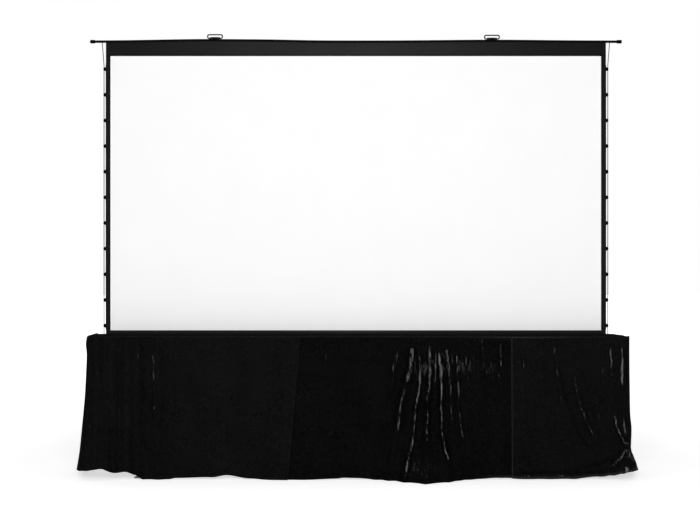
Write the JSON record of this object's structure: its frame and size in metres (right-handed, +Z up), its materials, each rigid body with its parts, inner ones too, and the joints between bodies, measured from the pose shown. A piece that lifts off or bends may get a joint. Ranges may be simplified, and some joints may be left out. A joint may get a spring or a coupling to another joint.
{
  "type": "portable projection screen",
  "caption": "Free-standing motorised projection screen: white fabric with black borders rises on scissor lifts out of a case on a castor stand hidden by a black velvet skirt.",
  "frame": {"origin": "on the floor below the middle of the screen fabric, at the middle of the object's footprint", "axes": "+X to the viewer's right along the screen, +Y away from the viewer, +Z up; the white side faces -Y"},
  "size_m": [3.8712, 0.7541, 2.9751],
  "materials": {
    "black_velvet": "velvet, matt with a sheen on the folds",
    "matt_white": "matt white projection face",
    "black_fabric": "matt black coated fabric",
    "grey_cord": "braided grey cord",
    "black_plastic": "satin moulded plastic",
    "black_paint": "fine-textured satin black powder coat",
    "black_anodised": "satin black anodised profile and sheet",
    "dark_steel": "dark polished wire",
    "bare_aluminium": "satin mill finish",
    "zinc_steel": "zinc plated",
    "grey_rubber": "matt tread"
  },
  "bodies": {
    "case": {"case_front_shell": "black_anodised", "case_rear_shell": "black_anodised", "case_floor": "black_anodised", "case_end_plate_left": "black_anodised", "case_end_plate_right": "black_anodised", "base_rail_left": "zinc_steel", "base_rail_right": "zinc_steel", "spring_drum_left": "black_anodised", "spring_drum_right": "black_anodised", "roller_bracket_left": "zinc_steel", "roller_bracket_right": "zinc_steel", "tubular_motor": "black_paint", "control_box": "black_plastic", "stand_post_left": "black_anodised", "stand_post_right": "black_anodised", "stand_foot_left": "black_anodised", "stand_foot_right": "black_anodised", "stand_stretcher": "black_anodised", "skirt_left_panel": "black_velvet", "skirt_middle_panel": "black_velvet", "skirt_right_panel": "black_velvet", "white_surface": "matt_white", "black_backing": "black_fabric", "tension_tabs_left": "black_plastic", "tension_tabs_right": "black_plastic", "tension_cord_left": "grey_cord", "tension_cord_right": "grey_cord"},
    "top_bar": {"top_bar": "black_paint", "bar_end_cap_left": "black_plastic", "bar_end_cap_right": "black_plastic", "loop_clamp_left": "black_plastic", "loop_clamp_right": "black_plastic", "head_rail_left": "zinc_steel", "head_rail_right": "zinc_steel"},
    "roller": {"roller_tube": "bare_aluminium", "drive_crown": "black_plastic", "idler_plug": "black_plastic"},
    "rocker_switch": {"rocker_switch": "black_plastic"},
    "lifting_loop_left": {"lifting_loop_left": "dark_steel"},
    "lifting_loop_right": {"lifting_loop_right": "dark_steel"},
    "lower_front_arm_left": {"lower_front_arm_left": "bare_aluminium"},
    "lower_rear_arm_left": {"lower_rear_arm_left": "bare_aluminium"},
    "upper_rear_arm_left": {"upper_rear_arm_left": "bare_aluminium"},
    "upper_front_arm_left": {"upper_front_arm_left": "bare_aluminium"},
    "lower_front_arm_right": {"lower_front_arm_right": "bare_aluminium"},
    "lower_rear_arm_right": {"lower_rear_arm_right": "bare_aluminium"},
    "upper_rear_arm_right": {"upper_rear_arm_right": "bare_aluminium"},
    "upper_front_arm_right": {"upper_front_arm_right": "bare_aluminium"},
    "castor_fork_front_left": {"castor_fork_front_left": "zinc_steel"},
    "castor_wheel_front_left": {"castor_wheel_front_left": "grey_rubber"},
    "levelling_jack_front_left": {"levelling_jack_front_left": "zinc_steel"},
    "castor_fork_front_right": {"castor_fork_front_right": "zinc_steel"},
    "castor_wheel_front_right": {"castor_wheel_front_right": "grey_rubber"},
    "levelling_jack_front_right": {"levelling_jack_front_right": "zinc_steel"},
    "castor_fork_rear_left": {"castor_fork_rear_left": "zinc_steel"},
    "castor_wheel_rear_left": {"castor_wheel_rear_left": "grey_rubber"},
    "levelling_jack_rear_left": {"levelling_jack_rear_left": "zinc_steel"},
    "castor_fork_rear_right": {"castor_fork_rear_right": "zinc_steel"},
    "castor_wheel_rear_right": {"castor_wheel_rear_right": "grey_rubber"},
    "levelling_jack_rear_right": {"levelling_jack_rear_right": "zinc_steel"}
  },
  "joints": [
    {"name": "screen_fold", "type": "hinge", "parent": "case", "child": "lower_front_arm_left", "pos_m": [-1.5, 0.027, 0.66], "axis": [0, 1, 0], "range_deg": [0, 55.62], "stiffness_Nm_per_rad": 200, "springref_deg": -68.75, "deforming": ["white_surface", "black_backing", "tension_tabs_left", "tension_tabs_right", "tension_cord_left", "tension_cord_right"]},
    {"name": "lower_cross_left", "type": "hinge", "parent": "lower_front_arm_left", "child": "lower_rear_arm_left", "pos_m": [-1.20297, 0.0335, 1.21863], "axis": [0, 1, 0], "range_deg": [-111.27, 0]},
    {"name": "inner_knee_left", "type": "hinge", "parent": "lower_front_arm_left", "child": "upper_rear_arm_left", "pos_m": [-0.90595, 0.0335, 1.77725], "axis": [0, 1, 0], "range_deg": [-111.27, 0]},
    {"name": "upper_cross_left", "type": "hinge", "parent": "upper_rear_arm_left", "child": "upper_front_arm_left", "pos_m": [-1.20297, 0.0335, 2.33588], "axis": [0, 1, 0], "range_deg": [0, 111.27]},
    {"name": "bar_on_left_lift", "type": "hinge", "parent": "upper_rear_arm_left", "child": "top_bar", "pos_m": [-1.5, 0.04, 2.8945], "axis": [0, 1, 0], "range_deg": [0, 55.65]},
    {"name": "foot_right", "type": "hinge", "parent": "case", "child": "lower_front_arm_right", "pos_m": [1.5, 0.027, 0.66], "axis": [0, 1, 0], "range_deg": [-55.65, 0]},
    {"name": "lower_cross_right", "type": "hinge", "parent": "lower_front_arm_right", "child": "lower_rear_arm_right", "pos_m": [1.20297, 0.0335, 1.21863], "axis": [0, 1, 0], "range_deg": [0, 111.27]},
    {"name": "inner_knee_right", "type": "hinge", "parent": "lower_front_arm_right", "child": "upper_rear_arm_right", "pos_m": [0.90595, 0.0335, 1.77725], "axis": [0, 1, 0], "range_deg": [0, 111.27]},
    {"name": "upper_cross_right", "type": "hinge", "parent": "upper_rear_arm_right", "child": "upper_front_arm_right", "pos_m": [1.20297, 0.0335, 2.33588], "axis": [0, 1, 0], "range_deg": [-111.27, 0]},
    {"name": "roller_spin", "type": "hinge", "parent": "case", "child": "roller", "pos_m": [0, -0.0406, 0.78], "axis": [1, 0, 0], "range_deg": [-2803.2, 0]},
    {"name": "loop_swing_left", "type": "hinge", "parent": "top_bar", "child": "lifting_loop_left", "pos_m": [-0.953, 0, 2.94664], "axis": [1, 0, 0], "range_deg": [-85, 85]},
    {"name": "loop_swing_right", "type": "hinge", "parent": "top_bar", "child": "lifting_loop_right", "pos_m": [0.92, 0, 2.94275], "axis": [1, 0, 0], "range_deg": [-85, 85]},
    {"name": "rocker_tilt", "type": "hinge", "parent": "case", "child": "rocker_switch", "pos_m": [-1.195, 0.1703, 0.74], "axis": [1, 0, 0], "range_deg": [-10, 10], "stiffness_Nm_per_rad": 0.05},
    {"name": "castor_swivel_front_left", "type": "hinge", "parent": "case", "child": "castor_fork_front_left", "pos_m": [-1.45, -0.045, 0.105], "axis": [0, 0, 1], "continuous": true},
    {"name": "castor_spin_front_left", "type": "hinge", "parent": "castor_fork_front_left", "child": "castor_wheel_front_left", "pos_m": [-1.45, -0.02, 0.0415], "axis": [1, 0, 0], "continuous": true},
    {"name": "jack_height_front_left", "type": "slide", "parent": "case", "child": "levelling_jack_front_left", "axis": [0, 0, 1], "range_m": [0, 0.03]},
    {"name": "castor_swivel_front_right", "type": "hinge", "parent": "case", "child": "castor_fork_front_right", "pos_m": [1.45, -0.045, 0.105], "axis": [0, 0, 1], "continuous": true},
    {"name": "castor_spin_front_right", "type": "hinge", "parent": "castor_fork_front_right", "child": "castor_wheel_front_right", "pos_m": [1.45, -0.02, 0.0415], "axis": [1, 0, 0], "continuous": true},
    {"name": "jack_height_front_right", "type": "slide", "parent": "case", "child": "levelling_jack_front_right", "axis": [0, 0, 1], "range_m": [0, 0.03]},
    {"name": "castor_swivel_rear_left", "type": "hinge", "parent": "case", "child": "castor_fork_rear_left", "pos_m": [-1.45, 0.235, 0.105], "axis": [0, 0, 1], "continuous": true},
    {"name": "castor_spin_rear_left", "type": "hinge", "parent": "castor_fork_rear_left", "child": "castor_wheel_rear_left", "pos_m": [-1.45, 0.26, 0.0415], "axis": [1, 0, 0], "continuous": true},
    {"name": "jack_height_rear_left", "type": "slide", "parent": "case", "child": "levelling_jack_rear_left", "axis": [0, 0, 1], "range_m": [0, 0.03]},
    {"name": "castor_swivel_rear_right", "type": "hinge", "parent": "case", "child": "castor_fork_rear_right", "pos_m": [1.45, 0.235, 0.105], "axis": [0, 0, 1], "continuous": true},
    {"name": "castor_spin_rear_right", "type": "hinge", "parent": "castor_fork_rear_right", "child": "castor_wheel_rear_right", "pos_m": [1.45, 0.26, 0.0415], "axis": [1, 0, 0], "continuous": true},
    {"name": "jack_height_rear_right", "type": "slide", "parent": "case", "child": "levelling_jack_rear_right", "axis": [0, 0, 1], "range_m": [0, 0.03]}
  ],
  "couplings": [
    {"joint": "lower_cross_left", "follows": "screen_fold", "ratio": -2},
    {"joint": "inner_knee_left", "follows": "screen_fold", "ratio": -2},
    {"joint": "upper_cross_left", "follows": "screen_fold", "ratio": 2},
    {"joint": "bar_on_left_lift", "follows": "screen_fold", "ratio": 1},
    {"joint": "foot_right", "follows": "screen_fold", "ratio": -1},
    {"joint": "lower_cross_right", "follows": "screen_fold", "ratio": 2},
    {"joint": "inner_knee_right", "follows": "screen_fold", "ratio": 2},
    {"joint": "upper_cross_right", "follows": "screen_fold", "ratio": -2},
    {"joint": "roller_spin", "follows": "screen_fold", "ratio": -50.304}
  ]
}
